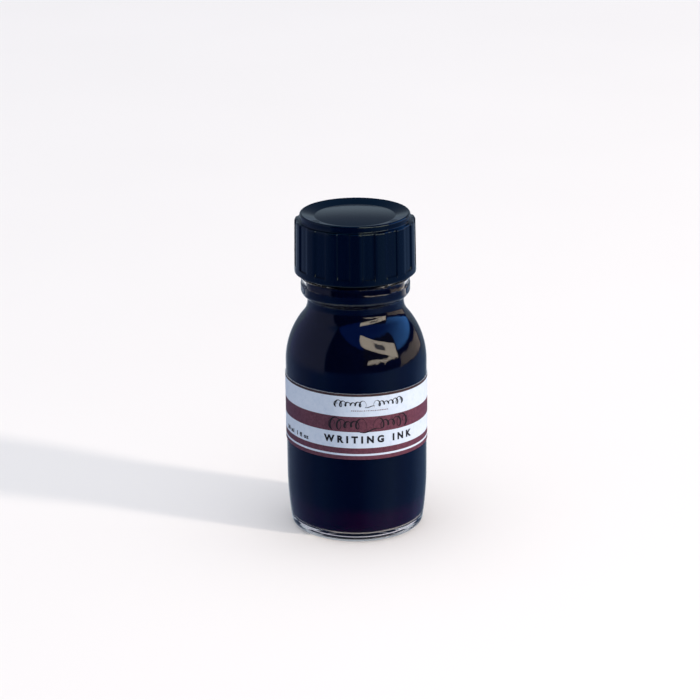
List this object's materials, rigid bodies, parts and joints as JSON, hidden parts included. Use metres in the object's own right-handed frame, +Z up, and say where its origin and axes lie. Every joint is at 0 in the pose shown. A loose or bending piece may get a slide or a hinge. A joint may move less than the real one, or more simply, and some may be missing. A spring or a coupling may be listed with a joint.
{
  "type": "ink bottle",
  "caption": "Small round clear glass ink bottle with a sloping shoulder, wrap-around paper label and ribbed black screw cap that unscrews and lifts off.",
  "frame": {"origin": "on the bottle's axis in the plane of the ring it stands on", "axes": "+Z up along the bottle's axis; -Y is the side that the middle of the label faces"},
  "size_m": [0.0364, 0.0362, 0.0827],
  "materials": {
    "clear_glass": "clear moulded flint glass, glossy",
    "ink": "liquid, near-black rose purple, glossy surface",
    "label_paper": "uncoated white paper printed with burgundy bands",
    "cap_thermoset": "moulded black thermoset, semi-gloss with soft edge shine",
    "liner_board": "grey-brown pulpboard, matte",
    "liner_film": "white polyethylene film, satin"
  },
  "bodies": {
    "bottle": {"glass_bottle": "clear_glass", "ink_fill": "ink", "paper_label": "label_paper"},
    "liner": {"liner_wad": "liner_board", "liner_facing": "liner_film"},
    "cap": {"screw_cap": "cap_thermoset"}
  },
  "joints": [
    {"name": "cap_lift", "type": "slide", "parent": "bottle", "child": "liner", "axis": [0, 0, 1], "range_m": [0, 0.01908]},
    {"name": "cap_turn", "type": "hinge", "parent": "liner", "child": "cap", "pos_m": [0, 0, 0.0675], "axis": [0, 0, 1], "range_deg": [0, 2160]}
  ],
  "couplings": [
    {"joint": "cap_lift", "follows": "cap_turn", "m_per_rad": 0.00050611}
  ]
}
